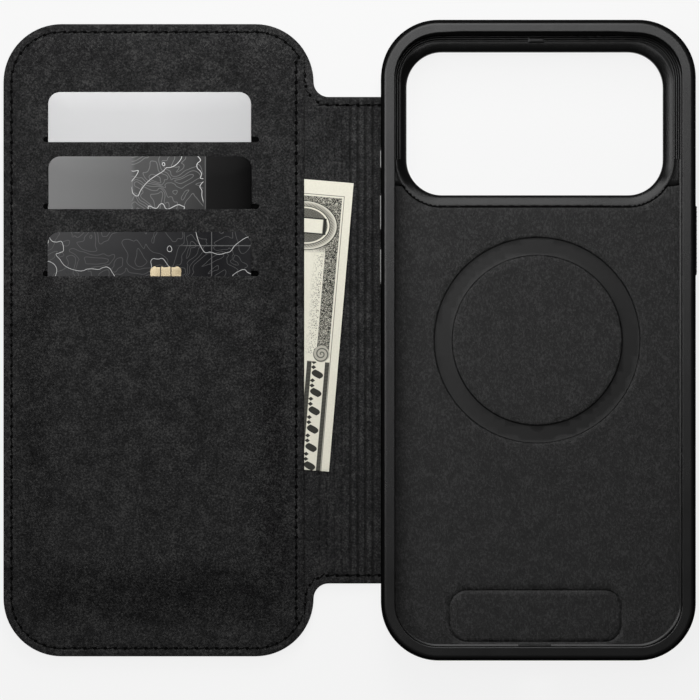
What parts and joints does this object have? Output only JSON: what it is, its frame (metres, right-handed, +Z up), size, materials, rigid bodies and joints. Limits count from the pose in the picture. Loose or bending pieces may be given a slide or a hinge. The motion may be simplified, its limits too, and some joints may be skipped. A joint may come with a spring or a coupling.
{
  "type": "phone wallet case",
  "caption": "Leather folio case lying open: rubber-edged tray that holds a large phone, ribbed folding spine, and a cover with card pockets and a note pocket, holding cards and a folded note.",
  "frame": {"origin": "centre of the open case's bounding box at the plane it lies on", "axes": "+X from the cover to the phone tray, +Y towards the camera opening, +Z up out of the tray"},
  "size_m": [0.184, 0.1694, 0.0127],
  "materials": {
    "shell_bumper": "soft-touch black polymer",
    "back_plate": "moulded polycarbonate",
    "camera_surround": "satin black polymer",
    "shell_lining": "black microfibre, debossed ring and tag outline",
    "magnet_ring": "nickel-plated arc magnets",
    "nfc_tag": "clear film with a copper coil",
    "back_leather": "fine-grained black leather",
    "spine_leather": "fine-grained black leather",
    "spine_lining": "black lining with pressed ribs",
    "spine_seams": "waxed black thread",
    "banknote_tab": "printed note paper",
    "cover_leather": "fine-grained black leather",
    "cover_stiffener": "pressed fibre board",
    "cover_lining": "black lining",
    "card_panel": "fine-grained black leather, three cut slots",
    "pocket_liner_top": "thin black lining",
    "pocket_liner_middle": "thin black lining",
    "pocket_liner_bottom": "thin black lining",
    "cover_seam": "waxed black thread",
    "panel_seam": "waxed black thread",
    "banknote_body": "printed note paper",
    "card_top": "satin light grey card",
    "card_middle": "grey to black card with fine lines",
    "card_bottom": "dark card with fine lines",
    "chip_contact": "pale gold contact plate",
    "action_button": "polished black button",
    "volume_up_button": "polished black button",
    "volume_down_button": "polished black button",
    "side_button": "black button with fine ribs"
  },
  "bodies": {
    "shell": {"shell_bumper": "shell_bumper", "back_plate": "back_plate", "camera_surround": "camera_surround", "shell_lining": "shell_lining", "magnet_ring": "magnet_ring", "nfc_tag": "nfc_tag", "back_leather": "back_leather"},
    "spine": {"spine_leather": "spine_leather", "spine_lining": "spine_lining", "spine_seams": "spine_seams", "banknote_tab": "banknote_tab"},
    "cover": {"cover_leather": "cover_leather", "cover_stiffener": "cover_stiffener", "cover_lining": "cover_lining", "card_panel": "card_panel", "pocket_liner_top": "pocket_liner_top", "pocket_liner_middle": "pocket_liner_middle", "pocket_liner_bottom": "pocket_liner_bottom", "cover_seam": "cover_seam", "panel_seam": "panel_seam", "banknote_body": "banknote_body"},
    "card_a": {"card_top": "card_top"},
    "card_b": {"card_middle": "card_middle"},
    "card_c": {"card_bottom": "card_bottom", "chip_contact": "chip_contact"},
    "action_key": {"action_button": "action_button"},
    "up_key": {"volume_up_button": "volume_up_button"},
    "down_key": {"volume_down_button": "volume_down_button"},
    "side_key": {"side_button": "side_button"}
  },
  "joints": [
    {"name": "spine_fold", "type": "hinge", "parent": "shell", "child": "spine", "pos_m": [0.0073, 0, 0.0023], "axis": [0, 1, 0], "range_deg": [0, 90]},
    {"name": "cover_fold", "type": "hinge", "parent": "spine", "child": "cover", "pos_m": [-0.0085, 0, 0.0023], "axis": [0, 1, 0], "range_deg": [0, 90]},
    {"name": "card_top_slide", "type": "slide", "parent": "cover", "child": "card_a", "axis": [0, 1, 0], "range_m": [0, 0.075]},
    {"name": "card_middle_slide", "type": "slide", "parent": "cover", "child": "card_b", "axis": [0, 1, 0], "range_m": [0, 0.075]},
    {"name": "card_bottom_slide", "type": "slide", "parent": "cover", "child": "card_c", "axis": [0, 1, 0], "range_m": [0, 0.075]},
    {"name": "action_press", "type": "slide", "parent": "shell", "child": "action_key", "axis": [1, 0, 0], "range_m": [0, 0.0004], "stiffness_N_per_m": 1500},
    {"name": "volume_up_press", "type": "slide", "parent": "shell", "child": "up_key", "axis": [1, 0, 0], "range_m": [0, 0.0004], "stiffness_N_per_m": 1500},
    {"name": "volume_down_press", "type": "slide", "parent": "shell", "child": "down_key", "axis": [1, 0, 0], "range_m": [0, 0.0004], "stiffness_N_per_m": 1500},
    {"name": "side_press", "type": "slide", "parent": "shell", "child": "side_key", "axis": [-1, 0, 0], "range_m": [0, 0.0004], "stiffness_N_per_m": 1500}
  ]
}
